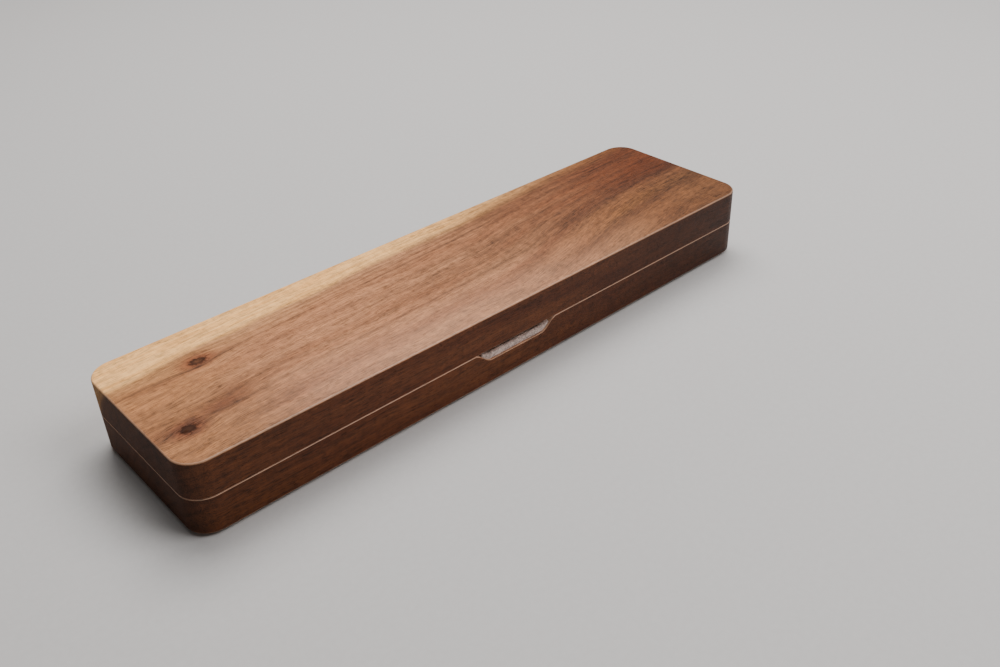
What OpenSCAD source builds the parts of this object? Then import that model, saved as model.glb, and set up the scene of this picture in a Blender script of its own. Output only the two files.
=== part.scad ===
// Walnut wrist rest that is also a flat storage case: two equal halves, hinged along the back edge,
// lined with felt and held shut by disc magnets. All lengths are in millimetres.
// X runs along the length, -Y is the front with the finger notch, +Z is up.
// The origin is on the table, under the middle of the case.

/* [Case] */
// Length of the wood along X
case_l = 300; // [280:5:460]
// Depth of the wood along Y
case_w = 80; // [70:1:110]
// Height of each half
half_h = 16; // [14:0.5:20]
// Plan radius of the vertical corners
corner_r = 10; // [8:0.5:14]
// Thickness of the walls round the pocket
wall = 8; // [8:0.5:10]
// Thickness of wood under (or over) the pocket
skin = 5; // [4:0.5:6]
// Plan radius of the pocket's corners
pocket_r = 6; // [4:0.5:7]
// Rounding of the lid's top edge and of the base's bottom edge
edge_r = 0.8; // [0.6:0.1:2]
// Rounding of both rims at the seam
rim_r = 0.3; // [0.3:0.1:0.7]
// Gap between the closed rims
seam_gap = 0.2; // [0.1:0.05:0.3]

/* [Finger notch] */
// Width of the notch at the rim
notch_w = 47; // [42:1:60]
// Width of its flat sill
notch_flat = 28; // [24:1:34]
// Depth of the sill under the seam
notch_d = 5.2; // [5.2:0.1:6]

/* [Felt] */
// Thickness of the felt lining
felt_t = 1; // [0.8:0.1:1.1]
// Width of the felt tab that lies over the notch's sill
tab_w = 38; // [36:1:40]
// Bare wood left in front of the tab
tab_set_back = 0.7; // [0.7:0.1:3]
// How far the wall lining stops short of the rim
felt_drop = 1; // [0.5:0.1:2]

/* [Hinges] */
// Distance of each hinge from the middle
hinge_x = 95; // [80:1:105]
// Length of each hinge
hinge_l = 22; // [18:1:30]
// Radius of the knuckles
knuckle_r = 1.5; // [1.4:0.05:1.6]
// Radius of the pin
pin_r = 0.75; // [0.6:0.05:0.8]
// Thickness of the leaves
leaf_t = 0.8; // [0.7:0.05:0.9]
// Distance of the hinge axis in from the back face
axis_in = 1.8; // [1.7:0.05:1.9]
// Angle of each bevel along the back, half of the lid's opening angle
bevel_a = 47.5; // [46:0.5:50]

/* [Magnets and feet] */
// Distance of each magnet from the middle
magnet_x = 120; // [90:1:125]
// Diameter of the disc magnets
magnet_d = 5; // [4:0.5:5]
// Thickness of the disc magnets
magnet_t = 2; // [1.5:0.5:3]
// Diameter of the rubber feet
foot_d = 10; // [8:0.5:14]
// How far the feet stand out of the wood
foot_h = 1.5; // [1:0.1:3]
// How far the feet are let into the wood
foot_in = 0.5; // [0.4:0.1:1]
// Distance of each foot's centre from the ends and from the sides
foot_inset = 12; // [10:0.5:20]

/* [Hidden] */

$fn = 64;
slop = 0.05; // glue line, and clearance of a pin in its bore
eps = 0.01;
over = 1; // how far a cutting shape runs past what it cuts

seam_z = foot_h + half_h; // mid-plane between the two rims
top_z = seam_z + half_h;
base_rim_z = seam_z - seam_gap / 2;
lid_rim_z = seam_z + seam_gap / 2;
base_floor_z = foot_h + skin;
lid_ceiling_z = top_z - skin;
pocket_l = case_l - 2 * wall;
pocket_w = case_w - 2 * wall;
rim_y = case_w / 2 - wall / 2; // middle of a long wall

notch_end = (notch_w - notch_flat) / 2;
sill_z = seam_z - notch_d;
NOTCH_STEPS = 10; // straight pieces along each curved end of the notch

axis_y = case_w / 2 - axis_in;
bevel_apex = 0.1; // how far the bevels meet in front of the hinge axis
knuckles = 5;
knuckle_gap = 0.2;
knuckle_room = 0.3; // clearance of the knuckles in the wood
knuckle_l = (hinge_l - (knuckles - 1) * knuckle_gap) / knuckles;
leaf_margin = 0.8; // wood left between the leaves and the pocket
leaf_in_y = case_w / 2 - wall + leaf_margin; // inner edge of the leaves
leaf_root_y = axis_y - knuckle_r - knuckle_gap; // where a leaf narrows to its own knuckles
screw_y = (leaf_in_y + leaf_root_y) / 2;
screw_share = 0.32; // where the screws stand, as a share of the hinge's length from its middle
screw_spread = screw_share * hinge_l;
screw_l = 6;
shank_r = 0.8;
foot_room = 0.4; // how much wider than a foot its recess is
pin_head = 0.2; // height of a pin's riveted ends, and how far they spread
pilot = 0.02; // clearance of a shank in its bore
tip_l = 1;
tip_r = 0.1;
head_r = 1.4;
head_h = 0.6;
slot_w = 0.35;
slot_d = 0.3;

// ---- shared shapes -------------------------------------------------------

// Half of a slab's cross-section: its outer corners rounded by r_low and r_high.
module half_section(half, h, r_low, r_high) {
    difference() {
        square([half, h]);
        translate([half - r_low, 0]) corner_waste(r_low, -1);
        translate([half - r_high, h]) corner_waste(r_high, 1);
    }
}

// What a quarter-round of radius r takes off a corner; up is 1 for an upper corner, -1 for a lower one.
module corner_waste(r, up) {
    translate([0, up > 0 ? -r : 0]) difference() {
        translate([0, up > 0 ? 0 : -over]) square([r + over, r + over]);
        translate([0, up > 0 ? 0 : r]) circle(r);
    }
}

module full_section(half, h, r_low, r_high) {
    half_section(half, h, r_low, r_high);
    mirror([1, 0]) half_section(half, h, r_low, r_high);
}

// A slab with round corners in plan and rounded lower and upper edges, standing on z = 0.
module slab(l, w, h, r, r_low, r_high) {
    rotate([90, 0, 90]) linear_extrude(l - 2 * r, center = true) full_section(w / 2, h, r_low, r_high);
    rotate([90, 0, 0]) linear_extrude(w - 2 * r, center = true) full_section(l / 2, h, r_low, r_high);
    for (sx = [0, 1], sy = [0, 1])
        mirror([sx, 0, 0]) mirror([0, sy, 0]) translate([l / 2 - r, w / 2 - r, 0])
            rotate_extrude(angle = 90) half_section(r, h, r_low, r_high);
}

// A straight-sided block with round corners in plan.
module block(l, w, h, r) {
    linear_extrude(h) {
        square([l - 2 * r, w], center = true);
        square([l, w - 2 * r], center = true);
        for (x = [-1, 1], y = [-1, 1])
            translate([x * (l / 2 - r), y * (w / 2 - r)]) circle(r);
    }
}

// Height of the notch's edge above the sill, at a distance x from the middle: a smooth S at each end.
function notch_rise(x) =
    abs(x) <= notch_flat / 2 ? 0
    : notch_d * (1 - cos(180 * min(1, (abs(x) - notch_flat / 2) / notch_end))) / 2;

// Stations across the notch, out to x = reach on both sides.
function notch_stations(reach) =
    let (step = (reach - notch_flat / 2) / NOTCH_STEPS)
    [for (side = [-1, 1], i = [0 : NOTCH_STEPS])
        side * (notch_flat / 2 + step * (side < 0 ? NOTCH_STEPS - i : i))];

module finger_notch() {
    edge = [for (x = notch_stations(notch_w / 2)) [x, sill_z + notch_rise(x)]];
    top = [[notch_w / 2, seam_z + over], [-notch_w / 2, seam_z + over]];
    translate([0, -case_w / 2 + wall + over, 0]) rotate([90, 0, 0])
        linear_extrude(wall + 2 * over) polygon(concat(edge, top));
}

// The wedge cut out along the back of both halves: it clears the lid's swing and then stops it.
module back_bevel() {
    run = axis_in + bevel_apex + over;
    rise = run * tan(bevel_a);
    rotate([90, 0, 90]) linear_extrude(case_l + 2 * over, center = true)
        polygon([
            [axis_y - bevel_apex, seam_z],
            [axis_y - bevel_apex + run, seam_z - rise],
            [axis_y - bevel_apex + run, seam_z + rise],
        ]);
}

// ---- hinge ---------------------------------------------------------------

// Room in one half for a leaf, the knuckles and the two screws; up is 1 for the lid and -1 for the base.
module hinge_mortise(up) {
    z = seam_z + up * (seam_gap / 2 + leaf_t + slop);
    translate([-hinge_l / 2 - slop, leaf_in_y - slop, min(z, seam_z)])
        cube([hinge_l + 2 * slop, axis_y - leaf_in_y + slop, abs(z - seam_z)]);
    translate([-hinge_l / 2 - knuckle_gap, axis_y, seam_z]) rotate([0, 90, 0])
        cylinder(r = knuckle_r + knuckle_room, h = hinge_l + 2 * knuckle_gap);
    for (x = [-1, 1])
        translate([x * screw_spread, screw_y, seam_z]) rotate([up > 0 ? 0 : 180, 0, 0])
            cylinder(r = shank_r + pilot, h = screw_l + over);
}

// One leaf with its own knuckles, closed; own lists the knuckles that belong to it.
module hinge_leaf(up, own) {
    z = seam_z + up * (seam_gap / 2 + leaf_t / 2);
    difference() {
        union() {
            translate([-hinge_l / 2, leaf_in_y, z - leaf_t / 2])
                cube([hinge_l, leaf_root_y - leaf_in_y, leaf_t]);
            for (i = own)
                translate([-hinge_l / 2 + i * (knuckle_l + knuckle_gap), 0, 0]) {
                    translate([0, leaf_root_y - eps, z - leaf_t / 2])
                        cube([knuckle_l, axis_y - leaf_root_y + eps, leaf_t]);
                    translate([0, axis_y, seam_z]) rotate([0, 90, 0])
                        cylinder(r = knuckle_r, h = knuckle_l);
                }
        }
        translate([-hinge_l / 2 - over, axis_y, seam_z]) rotate([0, 90, 0])
            cylinder(r = pin_r + slop, h = hinge_l + 2 * over);
        for (x = [-1, 1])
            translate([x * screw_spread, screw_y, seam_z + up * seam_gap / 2])
                rotate([up > 0 ? 0 : 180, 0, 0]) {
                    translate([0, 0, -over]) cylinder(r = shank_r + pilot, h = leaf_t + 2 * over);
                    cylinder(r1 = head_r + 2 * slop, r2 = shank_r + slop, h = head_h + slop);
                }
    }
}

module hinge_pin() {
    translate([-hinge_l / 2, axis_y, seam_z]) rotate([0, 90, 0]) cylinder(r = pin_r, h = hinge_l);
    for (x = [-1, 1])
        translate([x * hinge_l / 2, axis_y, seam_z]) rotate([0, 90 * x, 0])
            cylinder(r1 = pin_r + pin_head, r2 = pin_r, h = pin_head);
}

// A countersunk wood screw with a slotted head, driven from the seam into one half.
module hinge_screw(up) {
    translate([0, screw_y, seam_z + up * (seam_gap / 2 + slop)]) rotate([up > 0 ? 0 : 180, 0, 0])
        difference() {
            union() {
                cylinder(r1 = head_r, r2 = shank_r, h = head_h);
                cylinder(r = shank_r, h = screw_l - tip_l);
                translate([0, 0, screw_l - tip_l]) cylinder(r1 = shank_r, r2 = tip_r, h = tip_l);
            }
            translate([-slot_w / 2, -head_r - over, -over])
                cube([slot_w, 2 * (head_r + over), over + slot_d]);
        }
}

module hinge_screws(up) {
    for (side = [-1, 1], x = [-1, 1])
        translate([side * hinge_x + x * screw_spread, 0, 0]) hinge_screw(up);
}

BASE_KNUCKLES = [0, 2, 4];
LID_KNUCKLES = [1, 3];

// ---- the two wooden halves -----------------------------------------------

// Blind bores for the magnets in one rim; up is 1 for the lid and -1 for the base.
module magnet_bores(up) {
    for (x = [-1, 1])
        translate([x * magnet_x, -rim_y, seam_z]) rotate([up > 0 ? 0 : 180, 0, 0])
            cylinder(d = magnet_d + 2 * slop, h = seam_gap / 2 + magnet_t + 2 * slop);
}

module foot_place(sx, sy) {
    translate([sx * (case_l / 2 - foot_inset), sy * (case_w / 2 - foot_inset), 0]) children();
}

module base_tray() {
    color([0.36, 0.23, 0.15]) difference() {
        translate([0, 0, foot_h]) slab(case_l, case_w, base_rim_z - foot_h, corner_r, edge_r, rim_r);
        translate([0, 0, base_floor_z]) block(pocket_l, pocket_w, half_h + over, pocket_r);
        finger_notch();
        back_bevel();
        for (side = [-1, 1]) translate([side * hinge_x, 0, 0]) hinge_mortise(-1);
        magnet_bores(-1);
        for (sx = [-1, 1], sy = [-1, 1])
            foot_place(sx, sy) cylinder(d = foot_d + foot_room, h = foot_h + foot_in);
    }
}

module lid_shell() {
    color([0.55, 0.37, 0.25]) difference() {
        translate([0, 0, lid_rim_z]) slab(case_l, case_w, top_z - lid_rim_z, corner_r, rim_r, edge_r);
        translate([0, 0, seam_z - over]) block(pocket_l, pocket_w, lid_ceiling_z - seam_z + over, pocket_r);
        back_bevel();
        for (side = [-1, 1]) translate([side * hinge_x, 0, 0]) hinge_mortise(1);
        magnet_bores(1);
    }
}

// ---- felt lining ---------------------------------------------------------

// A closed strip of felt round a pocket's wall, from z_low up to z_high.
module felt_ring(z_low, z_high) {
    l = pocket_l - 2 * slop;
    w = pocket_w - 2 * slop;
    r = pocket_r - slop;
    translate([0, 0, z_low]) difference() {
        block(l, w, z_high - z_low, r);
        translate([0, 0, -over])
            block(l - 2 * felt_t, w - 2 * felt_t, z_high - z_low + 2 * over, r - felt_t);
    }
}

// A flat sheet of felt that fits inside the strip.
module felt_sheet(z_low) {
    in = 2 * (slop + felt_t + slop);
    translate([0, 0, z_low]) block(pocket_l - in, pocket_w - in, felt_t, pocket_r - in / 2);
}

// The space over the notch's sill, lift above it, out to x = reach on both sides.
module over_sill(reach, lift, y_front, y_back) {
    edge = [for (x = notch_stations(reach)) [x, sill_z + notch_rise(x) + lift]];
    top = [[reach, seam_z + over], [-reach, seam_z + over]];
    translate([0, y_back, 0]) rotate([90, 0, 0])
        linear_extrude(y_back - y_front) polygon(concat(edge, top));
}

// The space under the notch's sill raised by lift, out to x = reach on both sides.
module under_sill(reach, lift, z_low, y_front, y_back) {
    edge = [for (x = notch_stations(reach)) [x, sill_z + notch_rise(x) + lift]];
    bottom = [[reach, z_low], [-reach, z_low]];
    translate([0, y_back, 0]) rotate([90, 0, 0])
        linear_extrude(y_back - y_front) polygon(concat(edge, bottom));
}

module base_floor_felt() {
    color([0.6, 0.56, 0.54]) felt_sheet(base_floor_z + slop);
}

// The wall strip is open at the front, where the tab comes down between its two ends.
module base_wall_felt() {
    gap = tab_w + 2 * slop;
    in_y = -pocket_w / 2 + slop + felt_t;
    color([0.64, 0.6, 0.57]) difference() {
        felt_ring(base_floor_z + slop, base_rim_z - felt_drop);
        over_sill(notch_w / 2, -felt_drop, -case_w / 2, in_y + over);
        translate([-gap / 2, -case_w / 2, 0]) cube([gap, in_y + eps + case_w / 2, seam_z]);
    }
}

// One strip of felt that lies on the notch's sill and folds down the inside of the wall.
module notch_felt_tab() {
    y_front = -case_w / 2 + tab_set_back;
    y_back = -pocket_w / 2 + slop + felt_t;
    color([0.64, 0.6, 0.57]) {
        difference() {
            over_sill(tab_w / 2, slop, y_front, y_back);
            over_sill(notch_w / 2 - eps, slop + felt_t, y_front - over, y_back + over);
        }
        under_sill(tab_w / 2, slop + felt_t, base_floor_z + slop, y_back - felt_t, y_back);
    }
}

module lid_ceiling_felt() {
    color([0.6, 0.56, 0.54]) felt_sheet(lid_ceiling_z - slop - felt_t);
}

module lid_wall_felt() {
    color([0.64, 0.6, 0.57]) felt_ring(lid_rim_z + felt_drop, lid_ceiling_z - slop);
}

// ---- hardware ------------------------------------------------------------

module brass() {
    color([0.78, 0.6, 0.3]) children();
}

module hinge_left_base_leaf() { brass() translate([-hinge_x, 0, 0]) hinge_leaf(-1, BASE_KNUCKLES); }
module hinge_right_base_leaf() { brass() translate([hinge_x, 0, 0]) hinge_leaf(-1, BASE_KNUCKLES); }
module hinge_left_lid_leaf() { brass() translate([-hinge_x, 0, 0]) hinge_leaf(1, LID_KNUCKLES); }
module hinge_right_lid_leaf() { brass() translate([hinge_x, 0, 0]) hinge_leaf(1, LID_KNUCKLES); }
module hinge_left_pin() { brass() translate([-hinge_x, 0, 0]) hinge_pin(); }
module hinge_right_pin() { brass() translate([hinge_x, 0, 0]) hinge_pin(); }
module base_hinge_screws() { brass() hinge_screws(-1); }
module lid_hinge_screws() { brass() hinge_screws(1); }

// A disc magnet just under one rim; side is -1 for the left and 1 for the right.
module magnet(side, up) {
    color([0.75, 0.76, 0.78]) translate([side * magnet_x, -rim_y, seam_z + up * (seam_gap / 2 + slop)])
        rotate([up > 0 ? 0 : 180, 0, 0]) cylinder(d = magnet_d, h = magnet_t);
}

module base_magnet_left() { magnet(-1, -1); }
module base_magnet_right() { magnet(1, -1); }
module lid_magnet_left() { magnet(-1, 1); }
module lid_magnet_right() { magnet(1, 1); }

// A soft rubber foot with a bevelled lower edge, let into the wood.
module foot(sx, sy) {
    bevel = 0.4;
    color([0.12, 0.12, 0.12]) foot_place(sx, sy) {
        cylinder(d1 = foot_d - 2 * bevel, d2 = foot_d, h = bevel);
        translate([0, 0, bevel]) cylinder(d = foot_d, h = foot_h + foot_in - slop - bevel);
    }
}

module foot_front_left() { foot(-1, -1); }
module foot_front_right() { foot(1, -1); }
module foot_rear_left() { foot(-1, 1); }
module foot_rear_right() { foot(1, 1); }

base_tray();
lid_shell();
base_floor_felt();
base_wall_felt();
notch_felt_tab();
lid_ceiling_felt();
lid_wall_felt();
hinge_left_base_leaf();
hinge_left_lid_leaf();
hinge_left_pin();
hinge_right_base_leaf();
hinge_right_lid_leaf();
hinge_right_pin();
base_hinge_screws();
lid_hinge_screws();
base_magnet_left();
base_magnet_right();
lid_magnet_left();
lid_magnet_right();
foot_front_left();
foot_front_right();
foot_rear_left();
foot_rear_right();
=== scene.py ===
"""Looks for a walnut wrist rest that is also a felt-lined case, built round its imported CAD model.

Lengths are in millimetres until a mesh is made; meshes are in metres, in the CAD model's frame.
"""

import math
import random
from types import SimpleNamespace

import bmesh
import bpy
from mathutils import Matrix, Vector, noise


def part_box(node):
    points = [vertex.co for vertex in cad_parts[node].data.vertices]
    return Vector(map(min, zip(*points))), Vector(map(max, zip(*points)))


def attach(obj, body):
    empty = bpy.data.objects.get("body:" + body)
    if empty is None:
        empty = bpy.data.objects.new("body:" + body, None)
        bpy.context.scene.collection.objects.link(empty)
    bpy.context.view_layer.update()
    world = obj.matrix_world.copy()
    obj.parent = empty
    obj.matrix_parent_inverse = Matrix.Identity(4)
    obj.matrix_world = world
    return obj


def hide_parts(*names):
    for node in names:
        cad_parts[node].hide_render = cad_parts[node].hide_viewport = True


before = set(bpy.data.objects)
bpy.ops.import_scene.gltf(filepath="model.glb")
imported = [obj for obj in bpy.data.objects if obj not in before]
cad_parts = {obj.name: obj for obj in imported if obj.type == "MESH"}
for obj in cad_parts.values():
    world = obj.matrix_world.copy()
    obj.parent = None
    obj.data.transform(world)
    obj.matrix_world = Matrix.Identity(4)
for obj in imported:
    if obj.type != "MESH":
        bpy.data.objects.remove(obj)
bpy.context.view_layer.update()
MM = 0.001


# ---- sizes, in millimetres ----

def box_mm(node):
    low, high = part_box(node)
    return low / MM, high / MM


base_low, base_high = box_mm("base_tray")
lid_low, lid_high = box_mm("lid_shell")
strip_low, strip_high = box_mm("base_wall_felt")
sheet_low, sheet_high = box_mm("base_floor_felt")
ceiling_low, ceiling_high = box_mm("lid_ceiling_felt")
lid_strip_low, lid_strip_high = box_mm("lid_wall_felt")
tab_low, tab_high = box_mm("notch_felt_tab")

HALF_L = lid_high.x
HALF_W = lid_high.y
SEAM_Z = (base_high.z + lid_low.z) / 2
GLUE = 0.05  # room left between a piece and what it is glued or let into
POCKET_L = strip_high.x + GLUE
POCKET_W = strip_high.y + GLUE
CORNER_R = 10.0
POCKET_R = 6.0
EDGE_R = 0.8
RIM_R = 0.3
RIM_POINTS = 6  # points across a rim's eased edge
BEVEL_EASE = 0.22  # how far the bevel's two corners are eased
INNER_EASE = 0.35  # how far a pocket's edge is eased
CORNER_STEPS = 14
FELT_T = 1.0

NOTCH_W = 47.0
NOTCH_FLAT = 28.0
NOTCH_DEPTH = 5.2
SILL_Z = SEAM_Z - NOTCH_DEPTH
HINGE_INSET = 1.8  # from the back of the case to the hinges' axis
AXIS_Y = HALF_W - HINGE_INSET
BEVEL_APEX_Y = AXIS_Y - 0.1
BEVEL_TAN = math.tan(math.radians(47.5))
GROOVE_R = 1.8  # the groove that the knuckles turn in
KNUCKLE_REACH = 1.7  # from the hinge's axis forward to the flat of its leaf
SCREW_SHARE = 0.32  # of a leaf's length, from its middle to each screw


def sill_rise(x):
    """Height of the finger notch's edge over its sill, x from the middle."""
    past = (abs(x) - NOTCH_FLAT / 2) / ((NOTCH_W - NOTCH_FLAT) / 2)
    past = min(1.0, max(0.0, past))
    return (SEAM_Z - SILL_Z) * (1 - math.cos(math.pi * past)) / 2


# ---- mesh helpers ----

def linked(name, data):
    """A new object in the scene that holds data."""
    thing = bpy.data.objects.new(name, data)
    bpy.context.scene.collection.objects.link(thing)
    return thing


def new_object(name, points, faces, smooth=True):
    mesh = bpy.data.meshes.new(name)
    mesh.from_pydata([tuple(c * MM for c in p) for p in points], [], faces)
    mesh.validate()
    if smooth:
        mesh.shade_smooth()
    return linked(name, mesh)


def apply_modifiers(piece):
    """Puts what the modifiers make into the mesh itself."""
    graph = bpy.context.evaluated_depsgraph_get()
    graph.update()
    done = bpy.data.meshes.new_from_object(piece.evaluated_get(graph))
    old = piece.data
    piece.modifiers.clear()
    piece.data = done
    bpy.data.meshes.remove(old)


def finish_normals(piece, angle=40):
    """Smooth shading that keeps flat faces flat and edges sharper than angle crisp."""
    piece.data.shade_smooth()
    piece.data.set_sharp_from_angle(angle=math.radians(angle))
    weighted = piece.modifiers.new("weighted", "WEIGHTED_NORMAL")
    weighted.keep_sharp = True
    weighted.weight = 90
    apply_modifiers(piece)


def spread(low, high, step):
    """Evenly spaced values from low to high, about step apart, without the two ends."""
    count = max(1, round((high - low) / step))
    return [low + (high - low) * i / count for i in range(1, count)]


def quarter(r, steps):
    """A quarter circle that eases an edge, as how far each point is from either face."""
    turns = [math.radians(90 * i / steps) for i in range(steps + 1)]
    return [(r * (1 - math.cos(a)), r * (1 - math.sin(a))) for a in turns]


def outline(half_l, half_w, r, xs, ys, arc_steps):
    """Points and outward normals round a rectangle with round corners, anticlockwise.

    They start at the front left. xs and ys are the stations along the sides, from -1 to 1.
    """
    long, short = half_l - r, half_w - r
    stations = []

    def corner(cx, cy, start):
        for i in range(1, arc_steps):
            a = math.radians(start + 90 * i / arc_steps)
            stations.append((cx + r * math.cos(a), cy + r * math.sin(a), math.cos(a), math.sin(a)))

    stations += [(x * long, -half_w, 0, -1) for x in xs]
    corner(long, -short, -90)
    stations += [(half_l, y * short, 1, 0) for y in ys]
    corner(long, short, 0)
    stations += [(-x * long, half_w, 0, 1) for x in xs]
    corner(-long, short, 90)
    stations += [(-half_l, -y * short, -1, 0) for y in ys]
    corner(-long, -short, 180)
    return stations


def loft(name, rings, flip=False, loop=False):
    """A closed skin through rings of points, with flat ends unless the rings loop."""
    count, last = len(rings[0]), len(rings) - 1
    faces = []
    for k in range(last + loop):
        n = (k + 1) % len(rings)
        for i in range(count):
            j = (i + 1) % count
            faces.append((k * count + i, k * count + j, n * count + j, n * count + i))
    if not loop:
        faces.append(tuple(reversed(range(count))))
        faces.append(tuple(range(last * count, (last + 1) * count)))
    if flip:
        faces = [tuple(reversed(f)) for f in faces]
    return new_object(name, [p for ring in rings for p in ring], faces)


def put(piece, body, material):
    piece.data.materials.clear()
    piece.data.materials.append(material)
    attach(piece, body)
    return piece


# ---- the two wooden halves ----

LONG = HALF_L - CORNER_R
notch_side = spread(NOTCH_FLAT / 2 - 1, NOTCH_W / 2 + 1, 0.4)
side_x = sorted(
    [-LONG, LONG]
    + spread(-LONG, -NOTCH_W / 2 - 1, 5) + spread(NOTCH_W / 2 + 1, LONG, 5)
    + [s * x for s in (-1, 1) for x in notch_side + [NOTCH_FLAT / 2 - 1, NOTCH_W / 2 + 1]]
    + spread(-NOTCH_FLAT / 2 + 1, NOTCH_FLAT / 2 - 1, 3)
)
STATIONS_X = [x / LONG for x in side_x]
STATIONS_Y = [-1] + spread(-1, 1, 0.17) + [1]
FEET = [f"foot_{y}_{x}" for y in ("front", "rear") for x in ("left", "right")]


def rim_edge(y, normal_y):
    """How a rim's outer edge is eased: (inset, drop) of six points, from the wall up to the rim.

    Along the back it follows the bevel that lets the lid swing on its hinges and then stops it.
    """
    points = quarter(RIM_R, RIM_POINTS - 1)
    half_gap = (lid_low.z - base_high.z) / 2
    drop = (y - BEVEL_APEX_Y) * BEVEL_TAN - half_gap
    if normal_y <= 0 or drop <= 0.02:
        return points
    low = Vector((0, drop))
    high = Vector(((y - BEVEL_APEX_Y - half_gap / BEVEL_TAN) / normal_y, 0))
    run = (high - low).normalized() * BEVEL_EASE
    a, b = Vector((0, drop + BEVEL_EASE)), low + run
    c, d = high - run, high + Vector((BEVEL_EASE, 0))
    bevel = [a, (a + 2 * low + b) / 4, b, c, (c + 2 * high + d) / 4, d]
    share = min(1, drop / 0.9)
    share = share * share * (3 - 2 * share)
    return [tuple(a + (b - a) * share for a, b in zip(p, q)) for p, q in zip(points, bevel)]


def wooden_half(name, face_z, rim_z, pocket_z, notched):
    """One half of the case, from the middle of its outer face round to its pocket's floor."""
    up = 1 if rim_z > face_z else -1
    outer = outline(HALF_L, HALF_W, CORNER_R, STATIONS_X, STATIONS_Y, CORNER_STEPS)
    inner_x = [x * LONG / (POCKET_L - POCKET_R) if abs(x) < 0.999 else x for x in STATIONS_X]
    inner = outline(POCKET_L, POCKET_W, POCKET_R, inner_x, STATIONS_Y, CORNER_STEPS)

    def rim_at(x, normal_y):
        if notched and normal_y < -0.99:
            return min(rim_z, SILL_Z + sill_rise(x))
        return rim_z

    def at(station, inset, z):
        x, y, nx, ny = station
        return (x - nx * inset, y - ny * inset, z)

    rings = [[at(s, EDGE_R + 0.7, face_z) for s in outer]]
    for rise, inset in quarter(EDGE_R, 7):
        rings.append([at(s, inset, face_z + up * rise) for s in outer])
    edges = [rim_edge(s[1], s[3]) for s in outer]
    starts = [rim_at(s[0], s[3]) - up * e[0][1] for s, e in zip(outer, edges)]
    wall_foot = face_z + up * EDGE_R
    for share in (0.3, 0.6, 0.85):
        rings.append([at(s, 0, wall_foot + (z - wall_foot) * share) for s, z in zip(outer, starts)])
    for k in range(RIM_POINTS):
        rings.append([at(s, e[k][0], rim_at(s[0], s[3]) - up * e[k][1]) for s, e in zip(outer, edges)])
    rings.append([at(s, e[-1][0] + 0.4, rim_at(s[0], s[3])) for s, e in zip(outer, edges)])
    rings.append([at(s, -INNER_EASE - 0.5, rim_at(s[0], s[3])) for s in inner])
    for drop, back in quarter(INNER_EASE, 3):
        rings.append([at(s, -back, rim_at(s[0], s[3]) - up * drop) for s in inner])
    rings.append([at(s, 0, pocket_z + up * 0.5) for s in inner])
    rings.append([at(s, 0, pocket_z) for s in inner])
    return loft(name, rings, flip=up < 0)


def block_cutter(low, high):
    """A box from low to high, as points and faces."""
    points = [(x, y, z) for z in (low[2], high[2]) for y in (low[1], high[1]) for x in (low[0], high[0])]
    faces = [(0, 2, 3, 1), (4, 5, 7, 6), (0, 1, 5, 4), (2, 6, 7, 3), (0, 4, 6, 2), (1, 3, 7, 5)]
    return points, faces


def round_cutter(centre, axis, r, half, steps):
    """A cylinder of length 2 * half about centre, along X (axis 0) or Z (axis 2)."""
    points = []
    for side in (-1, 1):
        for i in range(steps):
            a = 2 * math.pi * i / steps
            u, v = r * math.cos(a), r * math.sin(a)
            offset = (side * half, u, v) if axis == 0 else (u, v, side * half)
            points.append(tuple(c + o for c, o in zip(centre, offset)))
    faces = [(i, (i + 1) % steps, steps + (i + 1) % steps, steps + i) for i in range(steps)]
    faces += [tuple(reversed(range(steps))), tuple(range(steps, 2 * steps))]
    return points, faces


def cut(piece, cutters):
    """Takes all the cutters out of the piece in one exact boolean."""
    points, faces = [], []
    for some_points, some_faces in cutters:
        start = len(points)
        points += some_points
        faces += [tuple(start + i for i in f) for f in some_faces]
    tool = new_object("cutter", points, faces, smooth=False)
    boolean = piece.modifiers.new("cut", "BOOLEAN")
    boolean.operation = "DIFFERENCE"
    boolean.solver = "EXACT"
    boolean.use_self = True
    boolean.object = tool
    apply_modifiers(piece)
    bpy.data.objects.remove(tool)


def screw_y(leaf_low):
    """Where a leaf's screws stand: in the middle of its flat part."""
    return (leaf_low.y + AXIS_Y - KNUCKLE_REACH) / 2


def hinge_cutters(leaf_node, up):
    """The mortise of one leaf, then its knuckles' groove with the pilot holes of its screws."""
    low, high = box_mm(leaf_node)
    far = high.z - (SEAM_Z + 1.5) if up > 0 else (SEAM_Z - 1.5) - low.z
    depth = (lid_low.z - SEAM_Z) + 0.8 + GLUE + max(0.0, far)
    middle = (low.x + high.x) / 2
    z = sorted((SEAM_Z + up * depth, SEAM_Z - up * 0.4))
    pocket = block_cutter((low.x - GLUE, low.y - GLUE, z[0]), (high.x + GLUE, AXIS_Y, z[1]))
    groove = round_cutter((middle, AXIS_Y, SEAM_Z), 0, GROOVE_R, (high.x - low.x) / 2 + 0.2, 48)
    bores = []
    for side in (-1, 1):
        place = (middle + side * SCREW_SHARE * (high.x - low.x), screw_y(low), SEAM_Z + up * 3.3)
        bores.append(round_cutter(place, 2, 0.82, 3.0, 24))
    return [pocket], [groove] + bores


def under(low, high):
    """The middle of a box's underside."""
    return (low.x + high.x) / 2, (low.y + high.y) / 2, low.z


def disc_cutter(node, room, up):
    """The round recess that a magnet or a foot sits in, wider than it by room."""
    low, high = box_mm(node)
    r = (high.x - low.x) / 2 + room
    far = high.z + GLUE if up > 0 else low.z - GLUE
    near = low.z - 1.0 if up > 0 else high.z + 1.0
    middle = ((low.x + high.x) / 2, (low.y + high.y) / 2, (far + near) / 2)
    return round_cutter(middle, 2, r, abs(far - near) / 2, 48)


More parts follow.
